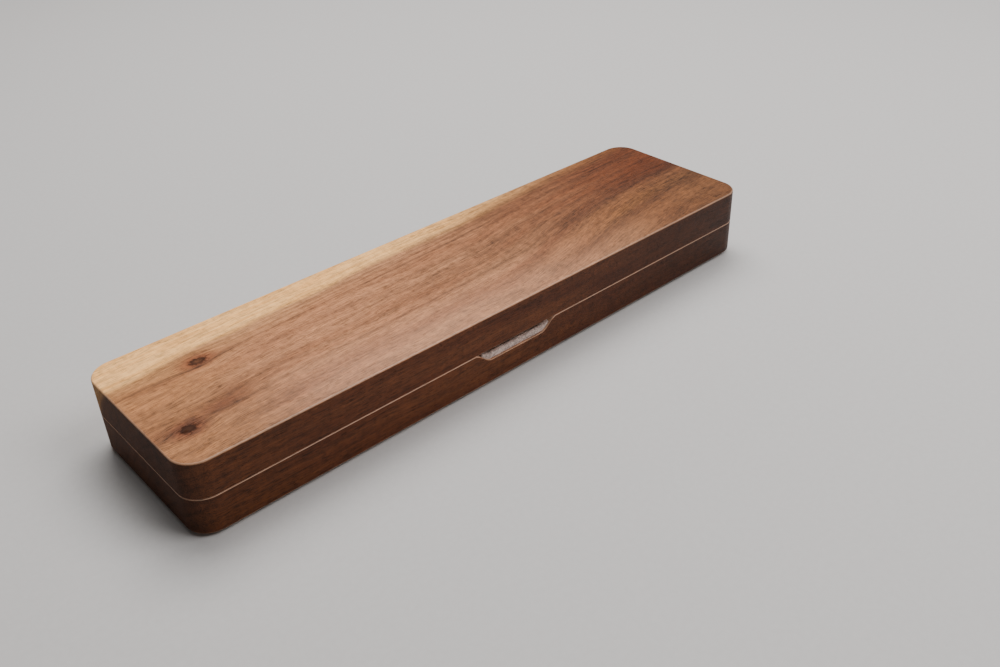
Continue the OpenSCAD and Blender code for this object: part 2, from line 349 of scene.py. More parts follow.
def make_halves(lid_wood, base_wood):
    """Both halves of the case, with the recesses for their hinges, magnets and feet."""
    base = wooden_half("base_wood", base_low.z, base_high.z, sheet_low.z - GLUE, True)
    lid = wooden_half("lid_wood", lid_high.z, lid_low.z, ceiling_high.z + GLUE, False)
    for piece, part, up in ((base, "base", -1), (lid, "lid", 1)):
        mortises, grooves = [], []
        for side in ("left", "right"):
            m, g = hinge_cutters(f"hinge_{side}_{part}_leaf", up)
            mortises += m
            grooves += g
        discs = [disc_cutter(f"{part}_magnet_{side}", GLUE, up) for side in ("left", "right")]
        if part == "base":
            discs += [disc_cutter(foot, 0.2, 1) for foot in FEET]
        cut(piece, mortises + discs)
        cut(piece, grooves)
        finish_normals(piece)
    put(base, "base", base_wood)
    put(lid, "lid", lid_wood)
    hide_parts("base_tray")
    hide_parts("lid_shell")


# ---- felt lining ----

def ruffle(point, size, depth):
    """How far a felt surface sinks at a point, from 0 to about depth, in bumps about size across."""
    p = Vector(point) / size
    return depth * (0.5 + 0.35 * noise.noise(p) + 0.25 * noise.noise(p * 2.7 + Vector((9.1, 3.3, 5.7))))


def path_round(half_l, half_w, r, step):
    """As outline, with a point every step or so all the way round."""
    long, short = half_l - r, half_w - r
    arc = max(6, round(math.pi * r / 2 / (step * 0.6)))
    return outline(half_l, half_w, r, [-1] + spread(-1, 1, step / long) + [1],
                   [-1] + spread(-1, 1, step / short) + [1], arc)


STRIP_EASE = 0.3  # how softly a strip's rim is rounded
STRIP_SECTION = (  # inset from the wall and drop from the rim, up the strip's back and down its face
    (0.0, 1.6), (0.0, STRIP_EASE), (0.1, 0.09), (STRIP_EASE, 0.0), (FELT_T / 2, 0.0),
    (FELT_T - STRIP_EASE, 0.0), (FELT_T - 0.1, 0.09), (FELT_T, STRIP_EASE), (FELT_T, 1.2),
    (FELT_T, 2.4), (FELT_T, 4.2), (FELT_T, 6.2),
)


def felt_strip(name, low, high, rim_up, open_half=0.0, cut_height=None):
    """The strip of felt round a pocket's wall.

    open_half is half of the gap in it at the front, and cut_height gives its top there.
    """
    stations = path_round(high.x, high.y, POCKET_R - GLUE, 1.0)
    if open_half:
        ends = [(x, -high.y, 0, -1) for x in (open_half, open_half + 0.15)]
        stations = [s for s in stations if s[3] > -0.99 or abs(s[0]) > open_half + 0.4]
        first = next(i for i, s in enumerate(stations) if s[3] < -0.99 and s[0] > open_half)
        stations = ends + stations[first:] + stations[:first]
        stations += [(-x, y, nx, ny) for x, y, nx, ny in reversed(ends)]
    rings = []
    way = 1 if rim_up else -1
    for x, y, nx, ny in stations:
        top = high.z
        if cut_height and ny < -0.99:
            top = min(top, cut_height(x))
        rim, root = (top, low.z) if rim_up else (low.z, top)
        ring = []
        for inset, drop in STRIP_SECTION:
            drop = min(drop, abs(top - low.z) * 0.8)
            px, py, pz = x - nx * inset, y - ny * inset, rim - way * drop
            if inset > 0.05:
                sink = ruffle((px, py, pz), 1.3, 0.14)
                if drop < 0.3:
                    pz -= way * sink * 1.6
                if inset > 0.6:
                    px, py = px + nx * sink, py + ny * sink
            ring.append((px, py, pz))
        ring.append((x - nx * FELT_T, y - ny * FELT_T, root))
        ring.append((x, y, root))
        rings.append(ring)
    piece = loft(name, rings, loop=not open_half)
    return finish_felt(piece)


def make_outward(piece):
    """Turns every face of a closed mesh to the outside."""
    work = bmesh.new()
    work.from_mesh(piece.data)
    bmesh.ops.recalc_face_normals(work, faces=work.faces)
    work.to_mesh(piece.data)
    work.free()


def finish_felt(piece, angle=50):
    make_outward(piece)
    finish_normals(piece, angle)
    return piece


def felt_sheet(name, low, high, show_up):
    """A flat sheet of felt with round corners; its open face is soft and uneven."""
    r = POCKET_R - FELT_T - 2 * GLUE
    edge = 0.25
    rows = [-high.y + d for d in (0.0, 0.12, edge, 0.6)]
    rows += [-high.y + 1.2 + v for v in [0.0] + spread(0, 2 * high.y - 2.4, 1.5)]
    rows += [-v for v in reversed(rows[:5])]
    across = [-1.0] + spread(-1, 1, 1.6 / high.x) + [1.0]

    def half_length(y, inset):
        past = abs(y) - (high.y - r)
        if past <= 0:
            return high.x - inset
        return high.x - r + math.sqrt(max(0.0, (r - inset) ** 2 - past ** 2))

    face_z, back_z = (high.z, low.z) if show_up else (low.z, high.z)
    way = 1 if show_up else -1
    front, back = [], []
    for y in rows:
        inner = min(y, high.y - 0.02) if y > 0 else max(y, 0.02 - high.y)
        for u in across:
            x = u * half_length(inner, 0.0)
            gap = min(high.y - abs(y), high.x - abs(x))
            roll = max(0.0, 1 - gap / edge)
            sink = edge * (1 - math.sqrt(max(0.0, 1 - roll * roll)))
            sink += ruffle((x, y, 0.0), 1.7, 0.09) + ruffle((x, y, 7.0), 17.0, 0.08)
            front.append((x, y, face_z - way * sink))
            back.append((x, y, back_z))
    wide, tall = len(across), len(rows)
    points = front + back
    shift = len(front)
    faces = []
    for j in range(tall - 1):
        for i in range(wide - 1):
            a = j * wide + i
            faces.append((a, a + 1, a + wide + 1, a + wide))
            faces.append(tuple(shift + v for v in (a + wide, a + wide + 1, a + 1, a)))
    border = list(range(wide)) + [j * wide + wide - 1 for j in range(1, tall)]
    border += [(tall - 1) * wide + i for i in range(wide - 2, -1, -1)]
    border += [j * wide for j in range(tall - 2, 0, -1)]
    for k, a in enumerate(border):
        b = border[(k + 1) % len(border)]
        faces.append((a, shift + a, shift + b, b))
    piece = new_object(name, points, faces)
    return finish_felt(piece)


TAB_FRONT = tab_low.y
TAB_SWELL = 1.6  # how far the loose felt swells up over the sill
TAB_END = 0.35  # how far from its cut edges the tab is rounded


def swell_at(x, y):
    """How far the loose felt stands over its own thickness, most just behind its front edge."""
    room = min(1.0, (lid_low.z - SILL_Z - sill_rise(x) - FELT_T) / 2.5)
    return TAB_SWELL * room * math.exp(-((y - TAB_FRONT - 1.9) / 1.6) ** 2)


def tab_path(lift, bend):
    """The tab's run, seen from the end: along the sill, then round the wall's inner edge.

    Each point is (y, height over the sill). lift is 0 for its underside and FELT_T for its top.
    """
    wall = -POCKET_W + GLUE + lift
    run = [(TAB_FRONT + d, lift) for d in (0.0, TAB_END)]
    run += [(y, lift) for y in spread(TAB_FRONT + TAB_END, wall - bend, 0.5)]
    return run + [(wall - back, lift - drop) for drop, back in quarter(bend, 6)]


def notch_tab(name):
    """The strip that lies on the notch's sill and folds down the inside of the wall."""
    half = tab_high.x
    xs = [-half, -half + 0.12, -half + TAB_END] + spread(-half + TAB_END, half - TAB_END, 0.45)
    xs += [half - TAB_END, half - 0.12, half]
    rings = []
    for x in xs:
        end = max(0.0, 1 - (half - abs(x)) / TAB_END)
        pinch = 0.3 * (1 - math.sqrt(max(0.0, 1 - end * end)))
        sill = SILL_Z + sill_rise(x) + GLUE
        ring = []
        for y, h in tab_path(FELT_T, FELT_T + TAB_END):
            sink = ruffle((x, y, h), 0.9, 0.42) + ruffle((x, y, 3.0), 4.0, 0.3) + pinch
            front = max(0.0, 1 - (y - TAB_FRONT) / TAB_END)
            swell = swell_at(x, y) * (1 - end)
            ring.append((x, y + front * (0.1 + sink), sill + h + swell - sink - 0.25 * front))
        wall = -POCKET_W + GLUE
        low_z = tab_low.z
        start = sill - TAB_END
        for share in (0.2, 0.4, 0.6, 0.8, 1.0):
            z = start + (low_z - start) * share
            ring.append((x, wall + FELT_T - ruffle((x, z, 5.0), 1.3, 0.14) - pinch * 0.3, z))
        ring.append((x, wall, low_z))
        for share in (0.75, 0.5, 0.25):
            ring.append((x, wall, start + (low_z - start) * share))
        for y, h in reversed(tab_path(0.0, TAB_END)):
            front = max(0.0, 1 - (y - TAB_FRONT) / TAB_END)
            ring.append((x, y + front * 0.12, sill + h + 0.18 * front + pinch * 0.4))
        rings.append(ring)
    piece = loft(name, rings)
    return finish_felt(piece, 60)


def fibres(name, roots, dice):
    """Loose hairs that stand out of the felt; each root is (point, direction away from the felt)."""
    points, faces = [], []
    sides, steps, thickness = 3, 5, 0.028
    for root, away in roots:
        away = Vector(away).normalized()
        spin = Vector((dice.uniform(-1, 1), dice.uniform(-1, 1), dice.uniform(-1, 1)))
        along = (spin - away * spin.dot(away)).normalized()
        length = dice.uniform(0.7, 2.0)
        lift = dice.uniform(0.1, 0.55)
        curl = along.cross(away) * dice.uniform(-0.6, 0.6)
        start = len(points)
        for k in range(steps):
            t = k / (steps - 1)
            middle = (Vector(root) + along * (length * t) + curl * (length * t * t)
                      + away * (lift * math.sin(math.pi * min(1.0, t * 0.8)) * length * 0.5 - 0.04))
            thin = thickness * (1.0 - 0.7 * t)
            u = along.cross(away).normalized()
            for i in range(sides):
                a = 2 * math.pi * i / sides
                points.append(middle + u * (thin * math.cos(a)) + away * (thin * math.sin(a)))
        for k in range(steps - 1):
            for i in range(sides):
                j = (i + 1) % sides
                a, b = start + k * sides, start + (k + 1) * sides
                faces.append((a + i, a + j, b + j, b + i))
        faces.append(tuple(start + i for i in reversed(range(sides))))
        faces.append(tuple(start + (steps - 1) * sides + i for i in range(sides)))
    piece = new_object(name, points, faces)
    make_outward(piece)
    return piece


def tab_fibres(dice):
    """Loose hairs over the notch's felt, and along its front edge."""
    roots = []
    for _ in range(620):
        x = dice.uniform(-tab_high.x + 0.2, tab_high.x - 0.2)
        y = dice.uniform(TAB_FRONT + 0.3, -POCKET_W)
        z = SILL_Z + sill_rise(x) + GLUE + FELT_T + swell_at(x, y) - 0.22
        roots.append(((x, y, z), (0, -0.25, 1)))
    for _ in range(240):
        x = dice.uniform(-tab_high.x + 0.2, tab_high.x - 0.2)
        z = SILL_Z + sill_rise(x) + GLUE + dice.uniform(0.4, 0.85)
        roots.append(((x, TAB_FRONT + 0.25, z), (0, -0.8, 0.6)))
    return fibres("notch_tab_fibres", roots, dice)


def rim_fibres(name, low, high, up, dice):
    """Loose hairs along a strip's rim, none of them in the notch."""
    roots = []
    rim = high.z - 0.14 if up else low.z + 0.14
    for x, y, nx, ny in path_round(high.x, high.y, POCKET_R - GLUE, 0.9):
        if up and ny < -0.99 and abs(x) < NOTCH_W / 2 + 1:
            continue
        inset = dice.uniform(0.2, 0.8)
        away = (-nx * 0.4, -ny * 0.4, 1 if up else -1)
        roots.append(((x - nx * inset, y - ny * inset, rim), away))
    return fibres(name, roots, dice)


def make_felt(wool):
    """The lining of both halves, the notch's tab and their loose fibres."""
    floor = felt_sheet("floor_felt", sheet_low, sheet_high, True)
    ceiling = felt_sheet("ceiling_felt", ceiling_low, ceiling_high, False)
    base_strip = felt_strip("base_wall_strip", strip_low, strip_high, True, tab_high.x + GLUE,
                            lambda x: SILL_Z + sill_rise(x) - FELT_T)
    lid_strip = felt_strip("lid_wall_strip", lid_strip_low, lid_strip_high, False)
    tab = notch_tab("notch_tab")
    parts = (
        (floor, "base", "base_floor_felt"), (base_strip, "base", "base_wall_felt"),
        (tab, "base", "notch_felt_tab"), (ceiling, "lid", "lid_ceiling_felt"),
        (lid_strip, "lid", "lid_wall_felt"),
    )
    for piece, body, node in parts:
        put(piece, body, wool)
        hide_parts(node)

    dice = random.Random(7)
    tab_hair = tab_fibres(dice)
    base_hair = rim_fibres("base_wall_fibres", strip_low, strip_high, True, dice)
    lid_hair = rim_fibres("lid_wall_fibres", lid_strip_low, lid_strip_high, False, dice)
    for piece, body in ((tab_hair, "base"), (base_hair, "base"), (lid_hair, "lid")):
        put(piece, body, wool)


# ---- hardware ----

def turned(name, axis, centre, profile, steps=48, thread=None):
    """A solid turned about a line through centre; profile is (place along the line, radius)."""
    rings = []
    for along, r in profile:
        ring = []
        for i in range(steps):
            a = 2 * math.pi * i / steps
            radius = r - (thread(along, a) if thread else 0.0)
            u, v = radius * math.cos(a), radius * math.sin(a)
            offset = (along, u, v) if axis == "X" else (u, v, along)
            ring.append(tuple(c + o for c, o in zip(centre, offset)))
        rings.append(ring)
    piece = loft(name, rings)
    make_outward(piece)
    return piece


def softened(r, length, edge, steps=4):
    """Profile of a plain disc or rod with both its edges rounded by edge."""
    start = [(rise, r - inset) for rise, inset in quarter(edge, steps)]
    return start + [(length - a, b) for a, b in reversed(start)]


def disc(name, node, edge):
    """A magnet: a plain disc in the place of its CAD node."""
    low, high = box_mm(node)
    r = (high.x - low.x) / 2
    piece = turned(name, "Z", under(low, high), softened(r, high.z - low.z, edge))
    finish_normals(piece)
    return piece


def copy_softened(name, node, edge):
    """A CAD piece's own shape with its facets joined and its edges softened."""
    piece = linked(name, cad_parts[node].data.copy())
    work = bmesh.new()
    work.from_mesh(piece.data)
    bmesh.ops.remove_doubles(work, verts=work.verts, dist=0.002 * MM)
    bmesh.ops.dissolve_limit(work, angle_limit=math.radians(2), verts=work.verts, edges=work.edges)
    work.to_mesh(piece.data)
    work.free()
    bevel = piece.modifiers.new("soft", "BEVEL")
    bevel.width = edge * MM
    bevel.segments = 2
    bevel.limit_method = "ANGLE"
    bevel.angle_limit = math.radians(40)
    apply_modifiers(piece)
    finish_normals(piece, 35)
    return piece


def screw_mesh(name):
    """A slotted, countersunk wood screw: its head's face at z = 0, its point down."""
    head, shank, root = 1.4, 0.8, 0.55
    long, point, pitch = 6.0, 1.4, 0.75

    def thread(along, angle):
        if along > -1.5:
            return 0.0
        phase = (along / pitch - angle / (2 * math.pi)) % 1.0
        fade = min(1.0, (-1.5 - along) / 0.5, max(0.15, (along + long) / point))
        return (shank - root) * abs(2 * phase - 1) * fade

    profile = [(0.0, head - 0.08), (-0.03, head - 0.02), (-0.09, head), (-0.62, shank), (-1.5, shank)]
    profile += [(-1.5 - 0.09 * i, shank) for i in range(1, 35)]
    tip_r = 0.1
    for d in (0.2, 0.4, 0.6, 0.8, 1.0, 1.2, 1.4):
        profile.append((-long + point - d, shank + (tip_r - shank) * d / point))
    piece = turned(name, "Z", (0, 0, 0), profile, 32, thread)
    slot = block_cutter((-0.175, -2, -0.3), (0.175, 2, 1))
    cut(piece, [slot])
    finish_normals(piece)
    return piece


def hinge_screws(part, up, brass):
    """The four screws of one half, as one piece."""
    dice = random.Random(11 if up > 0 else 5)
    one = screw_mesh("screw")
    work = bmesh.new()
    for side in ("left", "right"):
        low, high = box_mm(f"hinge_{side}_{part}_leaf")
        middle = (low.x + high.x) / 2
        spread_x = SCREW_SHARE * (high.x - low.x)
        face_z = SEAM_Z + up * ((lid_low.z - SEAM_Z) + GLUE)
        for x in (-1, 1):
            start = len(work.verts)
            work.from_mesh(one.data)
            work.verts.ensure_lookup_table()
            fresh = work.verts[start:]
            turn = Matrix.Rotation(dice.uniform(0, math.pi), 4, "Z")
            flip = Matrix.Rotation(math.pi if up > 0 else 0.0, 4, "X")
            shift = Matrix.Translation(Vector((middle + x * spread_x, screw_y(low), face_z)) * MM)
            bmesh.ops.transform(work, matrix=shift @ flip @ turn, verts=fresh)
    mesh = bpy.data.meshes.new(f"{part}_screws")
    work.to_mesh(mesh)
    work.free()
    bpy.data.objects.remove(one)
    piece = linked(f"{part}_screws", mesh)
    piece.data.shade_smooth()
    finish_normals(piece, 35)
    put(piece, part, brass)
    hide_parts(f"{part}_hinge_screws")


def hinge_pin(side, brass):
    """A hinge's pin, with a low domed head at each end."""
    low, high = box_mm(f"hinge_{side}_pin")
    r, head = 0.75, 0.2
    profile = [(-head, r + 0.04), (-head + 0.05, r + 0.15), (-0.06, r + 0.2), (0.0, r + 0.17), (0.01, r)]
    span = high.x - low.x - 2 * head
    profile += [(span - a, b) for a, b in reversed(profile)]
    pin = turned(f"{side}_pin", "X", (low.x + head, AXIS_Y, SEAM_Z), profile, 32)
    finish_normals(pin)
    put(pin, "base", brass)
    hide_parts(f"hinge_{side}_pin")


def rubber_foot(node, black):
    """A foot: a low rubber disc with a rounded edge and a shallow dish under it."""
    low, high = box_mm(node)
    r = (high.x - low.x) / 2
    tall = high.z - low.z
    profile = [(0.25, r * 0.35), (0.24, r * 0.55), (0.08, r * 0.66), (0.0, r * 0.72), (0.0, r - 0.75)]
    profile += [(rise, r - inset) for rise, inset in quarter(0.45, 6)]
    profile += [(tall - 0.1, r), (tall, r - 0.1)]
    _, y, x = node.split("_")
    foot = turned(f"{y}_{x}_foot", "Z", under(low, high), profile, 56)
    finish_normals(foot)
    put(foot, "base", black)
    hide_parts(node)


def make_hardware(brass, nickel, black):
    """Hinges, magnets, screws and feet."""
    for side in ("left", "right"):
        for part in ("base", "lid"):
            node = f"hinge_{side}_{part}_leaf"
            leaf = put(copy_softened(f"{side}_{part}_leaf", node, 0.07), part, brass)
            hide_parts(node)
            node = f"{part}_magnet_{side}"
            magnet = put(disc(f"{part}_disc_{side}", node, 0.18), part, nickel)
            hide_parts(node)
        hinge_pin(side, brass)
    hinge_screws("base", -1, brass)
    hinge_screws("lid", 1, brass)
    for node in FEET:
        rubber_foot(node, black)


# ---- node graphs ----

class Graph:
    """A short way to write a material: each call adds one node and returns its output."""

    def __init__(self, name):
        self.material = bpy.data.materials.new(name)
        self.material.use_nodes = True
        self.tree = self.material.node_tree
        self.shader = self.tree.nodes["Principled BSDF"]

    def feed(self, socket, value):
        if isinstance(value, bpy.types.NodeSocket):
            self.tree.links.new(value, socket)
        else:
            socket.default_value = value

    def add(self, kind, inputs, **settings):
        node = self.tree.nodes.new(kind)
        for key, value in settings.items():
            setattr(node, key, value)
        for key, value in inputs.items():
            self.feed(node.inputs[key], value)
        return node

    def surface(self, **inputs):
        for key, value in inputs.items():
            self.feed(self.shader.inputs[key.replace("_", " ")], value)

    def math(self, operation, a, b=0.0, clamp=False):
        return self.add("ShaderNodeMath", {0: a, 1: b}, operation=operation, use_clamp=clamp).outputs[0]

    def plus(self, *values):
        total = values[0]
        for value in values[1:]:
            total = self.math("ADD", total, value)
        return total

    def times(self, *values):
        total = values[0]
        for value in values[1:]:
            total = self.math("MULTIPLY", total, value)
        return total

    def minus(self, a, b):
        return self.math("SUBTRACT", a, b)

    def over(self, a, b):
        return self.math("DIVIDE", a, b)

    def swing(self, value, reach):
        """A noise of 0 to 1 as a swing about nothing."""
        return self.times(self.minus(value, 0.5), reach)

    def axes(self, x, y, z):
        return self.add("ShaderNodeCombineXYZ", {0: x, 1: y, 2: z}).outputs[0]

    def split(self, vector):
        return self.add("ShaderNodeSeparateXYZ", {0: vector}).outputs

    def noise(self, vector, detail=2.0, roughness=0.5, scale=1.0, distortion=0.0):
        node = self.add("ShaderNodeTexNoise", {
            "Vector": vector, "Scale": scale, "Detail": detail,
            "Roughness": roughness, "Distortion": distortion})
        return node.outputs[0]

    def stretched(self, parts, sizes, detail, roughness=0.5):
        """Noise over three coordinates, with bumps about sizes mm across along each."""
        scaled = [self.times(part, 1 / size) for part, size in zip(parts, sizes)]
        return self.noise(self.axes(*scaled), detail=detail, roughness=roughness)

    def smooth(self, value, low, high, to_low=0.0, to_high=1.0):
        """value from low to high, turned smoothly into to_low to to_high."""
        node = self.add("ShaderNodeMapRange", {0: value, 1: low, 2: high, 3: to_low, 4: to_high},
                        interpolation_type="SMOOTHSTEP")
        return node.outputs[0]

    def mix(self, share, a, b, blend="MIX"):
        node = self.add("ShaderNodeMix", {0: share, 6: a, 7: b}, data_type="RGBA", blend_type=blend)
        return node.outputs[2]

    def grey(self, value):
        return self.add("ShaderNodeCombineColor", {0: value, 1: value, 2: value}).outputs[0]

    def bump(self, height, distance_mm):
        node = self.add("ShaderNodeBump", {"Height": height, "Distance": distance_mm * MM})
        self.feed(self.shader.inputs["Normal"], node.outputs[0])

    def place(self):
        """The point on the piece in its own frame, in millimetres, and its normal there."""
        source = self.add("ShaderNodeTexCoord", {})
        scaled = self.add("ShaderNodeVectorMath", {0: source.outputs["Object"], 3: 1 / MM}, operation="SCALE")
        return scaled.outputs[0], source.outputs["Normal"]


def colour(red, green, blue):
    """An sRGB colour from 0 to 255, as the linear colour that a node takes."""
    def linear(c):
        c /= 255
        return c / 12.92 if c <= 0.04045 else ((c + 0.055) / 1.055) ** 2.4
    return (linear(red), linear(green), linear(blue), 1.0)


# ---- walnut ----

PITH = (-70.0, -60.0)  # where the tree's heart lies, in Y and Z, in front of and under the case
SAP_EDGE = 29.0  # Y of the sapwood's edge on the top face, at the middle
RING_GAP = 4.6

SAP = colour(255, 197, 126)
SAP_WARM = colour(244, 177, 102)
HEART_LIGHT = colour(190, 132, 92)
HEART = colour(160, 102, 67)
HEART_RED = colour(108, 53, 23)
HEART_DARK = colour(70, 37, 22)
TAWNY = colour(178, 120, 74)
TAWNY_DARK = colour(134, 86, 51)
GOLD = colour(152, 97, 53)
# pale colour painted on as sheen and highlight
HIGHLIGHT_PALE = colour(230, 196, 174)
KNOT_DARK = colour(50, 24, 12)
KNOT_MIDDLE = colour(128, 82, 54)
SIDE_SHADE_TINT = colour(146, 123, 102)  # painted shade: how much darker the board's upright sides are drawn than its top
SMEAR_TINT = colour(146, 94, 70)
HALO_TINT = colour(176, 126, 98)

LID_KNOTS = (  # x, y, half length, half width of each pin knot on the top face, and how pale its middle is
    (-114.8, 15.2, 3.7, 2.4, 0.75),
    (-137.2, -20.4, 3.4, 2.5, 0.2),
)
LID_SWIRLS = ((-119.0, -7.0),)  # where the grain curls round a knot that lies deeper
LID_SMEARS = (  # x, y, half length, half width and strength of the dark stain beside each knot
    (-128.0, 10.5, 11.0, 2.6, 0.36),
    (-104.0, 14.5, 8.0, 2.0, 0.30),
    (-122.0, -16.0, 12.0, 4.6, 0.66),
    (-147.0, -17.0, 6.0, 5.0, 0.35),
    (-113.0, -11.0, 6.0, 5.0, 0.30),
    (-141.0, 12.0, 9.0, 4.0, 0.30),
)
LID_BANDS = (  # flow, half width, x where it starts, x where it is full, and strength of each dark streak
    (-20.0, 3.6, 5.0, 95.0, 0.46),
    (-40.0, 3.2, 20.0, 85.0, 0.44),
    (16.0, 4.0, 15.0, 110.0, 0.30),
    (3.0, 1.6, -60.0, 60.0, 0.20),
    (-8.0, 1.5, 40.0, 130.0, 0.24),
    (-31.0, 1.2, 60.0, 120.0, 0.20),
) + tuple((flow, half, -190.0, -150.0, strength) for flow, half, strength in (  # full length
    (-2.0, 0.8, 0.14), (-13.0, 1.0, 0.22), (-26.0, 0.8, 0.20), (27.6, 0.5, 0.42),
    (25.2, 0.6, 0.40), (22.4, 0.5, 0.32), (19.0, 0.8, 0.22),
))


def offset(g, x, y, middle, reach_x, reach_y):
    """The squared distance from a place, where 1 is the edge of an ellipse round it."""
    dx = g.over(g.minus(x, middle[0]), reach_x)
    dy = g.over(g.minus(y, middle[1]), reach_y)
    return g.plus(g.times(dx, dx), g.times(dy, dy))


def around(g, x, y, middle, reach_x, reach_y):
    """1 at the middle, falling off smoothly with distance."""
    return g.math("EXPONENT", g.times(offset(g, x, y, middle, reach_x, reach_y), -1.0))


def darkened(g, share, wood, tint):
    return g.mix(share, wood, g.mix(1.0, wood, tint, "MULTIPLY"))


def place_in_tree(g, shift, eyes):
    """Where a point lies in the tree: along and across the grain, and round its heart.

    The grain parts round each of eyes. shift takes another stretch of the same tree.
    """
    here, normal = g.place()
    x, y, z = g.split(here)[:3]
    moved = g.add("ShaderNodeVectorMath", {0: here, 1: shift}, operation="ADD").outputs[0]
    own = g.split(moved)[:3]
    slow = g.stretched(own, (110, 60, 60), 1)
    quick = g.stretched(own, (34, 15, 15), 2)
    wander = g.plus(g.swing(slow, 6.0), g.swing(quick, 3.2))
    flow = y
    for eye in eyes:
        pull = g.times(around(g, x, y, eye, 15.0, 7.0), 0.75)
        flow = g.minus(flow, g.times(g.minus(y, eye[1]), pull))
    # the grain runs along X at the left, and climbs towards the back over the right half's front
    climb = g.times(g.smooth(x, 0.0, 125.0, 0.0, 19.0), g.smooth(y, 38.0, -8.0))
    flow = g.plus(flow, g.times(x, -0.045), g.times(climb, -1.0))
    across = g.plus(flow, wander)
    deep = g.plus(z, g.times(wander, 0.6))
    ring_y = g.plus(across, -PITH[0])
    ring_z = g.plus(deep, -PITH[1])
    radius = g.math("SQRT", g.plus(g.times(ring_y, ring_y), g.times(ring_z, ring_z)))
    turn = g.times(g.math("ARCTAN2", ring_z, ring_y), 130.0)
    return SimpleNamespace(here=here, normal=normal, x=x, y=y, z=z, own=own, flow=flow, quick=quick,
                           radius=radius, rings=(own[0], radius, turn), fibres=(own[0], across, deep))


def figure(g, at):
    """The noises that draw the wood's figure, from its broad streaks down to its pores."""
    fig = SimpleNamespace(
        streak=g.stretched(at.rings, (95, 6.5, 26), 3, 0.55),
        band=g.stretched(at.rings, (26, 1.2, 10), 3, 0.6),
        fibre=g.stretched(at.fibres, (11, 0.42, 0.42), 3, 0.6),
        hair=g.stretched(at.fibres, (3.2, 0.24, 0.24), 2),
        line=g.stretched(at.fibres, (36, 0.75, 0.75), 2),
        pore=g.stretched(at.fibres, (3.6, 0.17, 0.17), 0),
        patch=g.stretched(at.own, (60, 24, 24), 2),
        ripple=g.stretched(at.fibres, (1.7, 4, 4), 2),
        mottle=g.stretched(at.fibres, (6, 3, 3), 2),
    )
    phase = g.math("FRACT", g.plus(g.times(at.radius, 1 / RING_GAP), g.times(fig.band, 0.35)))
    fig.ring_line = g.times(g.smooth(phase, 0.45, 0.93), g.smooth(phase, 1.0, 0.94))
    return fig


def heartwood(g, at, fig, bands):
    """The heartwood's colour, and the thin dark line to shade by."""
    x, flow = at.x, at.flow
    heart = g.mix(g.smooth(fig.streak, 0.28, 0.74), HEART_LIGHT, HEART)
    heart = g.mix(g.times(g.smooth(x, -88.0, -132.0), 0.75), heart, TAWNY)
    low_right = g.times(g.smooth(x, 20.0, 110.0), g.smooth(flow, -20.0, -38.0))
    heart = g.mix(g.times(low_right, 0.9), heart, TAWNY_DARK)
    redness = g.times(g.smooth(x, -20.0, 150.0), g.smooth(flow, -36.0, -20.0, 0.12, 1.0))
    redness = g.plus(redness, g.swing(fig.patch, 0.8))
    heart = g.mix(g.math("MAXIMUM", redness, 0.0, clamp=True), heart, HEART_RED)
    gold = g.times(g.smooth(flow, -42.0, -34.0), g.smooth(flow, -21.0, -27.0),
                   g.smooth(x, 10.0, 90.0), g.smooth(x, 100.0, 142.0, 1.0, 0.45))
    heart = g.mix(g.times(gold, g.smooth(fig.patch, 0.25, 0.65, 0.25, 0.85)), heart, GOLD)
    line = fig.line
    for place, half, start, full, strength in bands:
        off = g.over(g.plus(flow, -place, g.swing(fig.band, 1.0 + 0.75 * half)), half)
        # where there are bands, the last one is also the line that the shading follows
        line = g.times(g.math("EXPONENT", g.times(off, off, -1.0)),
                       g.smooth(at.quick, 0.2, 0.7, 0.45, 1.25))
        heart = g.mix(g.times(line, g.smooth(x, start, full), strength), heart, HEART_DARK)
    return heart, line


def sapwood(g, at, fig):
    """How far the wood is sapwood, and the dark line along the sapwood's edge."""
    x = at.x
    sap_radius = math.hypot(SAP_EDGE - PITH[0], lid_high.z - PITH[1])
    ragged = g.plus(at.radius, -sap_radius, g.times(x, -0.012))
    ragged = g.plus(ragged, g.swing(fig.band, 3.4), g.swing(fig.fibre, 1.8))
    ragged = g.over(ragged, g.smooth(x, -30.0, 90.0, 1.0, 2.6))  # its edge blurs rightwards
    left = g.smooth(x, 10.0, -110.0)
    sappy = g.plus(g.times(g.smooth(ragged, -2.0, 1.6), 0.8),
                   g.times(g.smooth(ragged, -14.0, 3.0), g.times(left, 0.2)),
                   g.times(g.smooth(ragged, 0.0, 3.5), g.plus(0.2, g.times(left, -0.2))))
    sappy = g.times(sappy, g.smooth(x, -5.0, 115.0, 1.0, 0.2))
    return sappy, g.times(g.smooth(ragged, -3.0, -0.7), g.smooth(ragged, 1.2, -0.7))


def wood_shade(g, at, fig, sappy, edge_line, line):
    """How light the wood is at a point, before its pores."""
    x, y = at.x, at.y
    contrast = g.plus(1.0, g.times(sappy, -0.35))  # sapwood's figure is fainter
    return g.plus(
        1.0,
        g.times(fig.ring_line, contrast, -0.12),
        g.times(g.minus(fig.band, 0.5), contrast, -0.62),
        g.times(g.minus(fig.fibre, 0.5), contrast, -1.35),
        g.swing(fig.hair, -0.85),
        g.swing(fig.ripple, 0.46),
        g.swing(fig.mottle, 0.50),
        # darker to the right, partly the wood's own tone and partly painted shade for the sheen and light
        # that fall off there; darker too along its middle, at the front left and at the front right
        g.smooth(x, -60.0, 40.0, 0.0, -0.17),
        g.times(g.smooth(y, 16.0, 3.0), g.smooth(y, -17.0, -8.0), g.smooth(x, -70.0, 0.0, 0.0, -0.15)),
        g.times(g.smooth(x, -60.0, -130.0), g.smooth(y, 4.0, -10.0, 0.0, -0.20)),
        g.times(g.smooth(x, 105.0, 140.0), g.smooth(y, 8.0, -6.0, 0.0, -0.17)),
        g.times(edge_line, -0.10),
        g.times(g.smooth(line, 0.55, 0.72), contrast, -0.26),
    )


